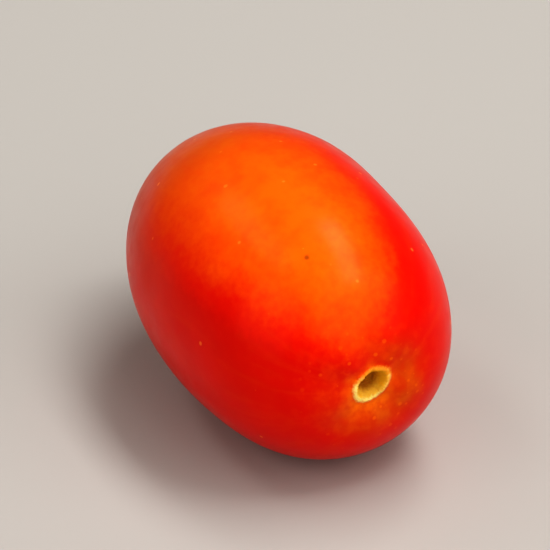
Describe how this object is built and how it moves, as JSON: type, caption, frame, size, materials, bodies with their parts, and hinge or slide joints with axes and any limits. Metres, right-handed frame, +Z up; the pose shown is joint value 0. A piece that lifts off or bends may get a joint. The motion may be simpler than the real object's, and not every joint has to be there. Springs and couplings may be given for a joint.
{
  "type": "grape tomato",
  "caption": "Small oblong tomato lying on its side, with a blunt stem end, a pale corky stem scar in a shallow dimple and a slightly pointed blossom end.",
  "frame": {"origin": "on the surface it rests on, under the middle of the fruit's box", "axes": "+Z up, +X along the fruit's level long axis towards the stem end, +Y across it"},
  "size_m": [0.042, 0.0266, 0.0267],
  "materials": {
    "tomato_skin": "satin"
  },
  "bodies": {
    "root": {"tomato": "tomato_skin"}
  },
  "joints": []
}
